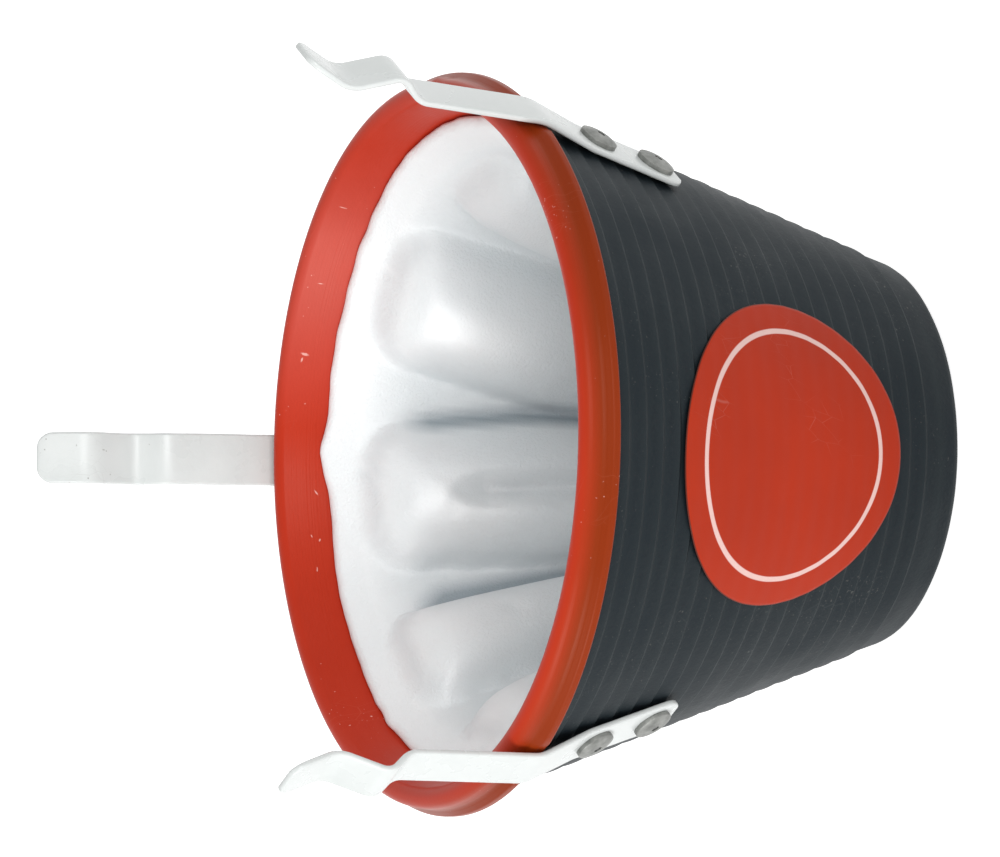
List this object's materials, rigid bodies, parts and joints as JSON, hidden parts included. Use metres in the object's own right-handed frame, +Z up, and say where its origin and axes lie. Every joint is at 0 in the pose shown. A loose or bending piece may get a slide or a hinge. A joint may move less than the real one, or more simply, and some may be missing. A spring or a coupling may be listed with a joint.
{
  "type": "trumpet bucket mute",
  "caption": "Trumpet bucket mute: ribbed black bucket with a flared red rim, a folded white lining and white spring clips that grip the edge of the bell.",
  "frame": {"origin": "The middle of the closed end's flat face, on which the mute stands.", "axes": "+Z runs up the bucket's axis and out of its mouth. The label faces -Y. +X is to the label's right, with the label in front."},
  "size_m": [0.117, 0.1228, 0.1143],
  "materials": {
    "sleeve": "satin ribbed rubber",
    "bucket": "satin red plastic",
    "lining": "pearly white foam sheet",
    "pad": "felt",
    "label": "printed sticker",
    "clip": "white dipped coating on spring steel",
    "rivet": "plain",
    "steel": "plain"
  },
  "bodies": {
    "bucket": {"outer_sleeve": "sleeve", "inner_bucket": "bucket", "lining": "lining", "base_pad": "pad", "label": "label", "clip_1_foot": "clip", "clip_2_foot": "clip", "clip_3_foot": "clip", "rivet_1_1": "rivet", "rivet_1_2": "rivet", "rivet_2_1": "rivet", "rivet_2_2": "rivet", "rivet_3_1": "rivet", "rivet_3_2": "rivet", "mandrel_1_1": "steel", "mandrel_1_2": "steel", "mandrel_2_1": "steel", "mandrel_2_2": "steel", "mandrel_3_1": "steel", "mandrel_3_2": "steel", "washer_1_1": "steel", "washer_1_2": "steel", "washer_2_1": "steel", "washer_2_2": "steel", "washer_3_1": "steel", "washer_3_2": "steel"},
    "arm_1": {"clip_1_arm": "clip"},
    "arm_2": {"clip_2_arm": "clip"},
    "arm_3": {"clip_3_arm": "clip"}
  },
  "joints": [
    {"name": "arm_1_spring", "type": "hinge", "parent": "bucket", "child": "arm_1", "pos_m": [0.05051, -0.02663, 0.07233], "axis": [0.4664, 0.8846, 0], "range_deg": [0, 8], "stiffness_Nm_per_rad": 2},
    {"name": "arm_2_spring", "type": "hinge", "parent": "bucket", "child": "arm_2", "pos_m": [-0.04832, -0.03043, 0.07233], "axis": [0.5329, -0.8462, 0], "range_deg": [0, 8], "stiffness_Nm_per_rad": 2},
    {"name": "arm_3_spring", "type": "hinge", "parent": "bucket", "child": "arm_3", "pos_m": [-0.00319, 0.05702, 0.07233], "axis": [-0.9984, -0.0558, 0], "range_deg": [0, 8], "stiffness_Nm_per_rad": 2}
  ]
}
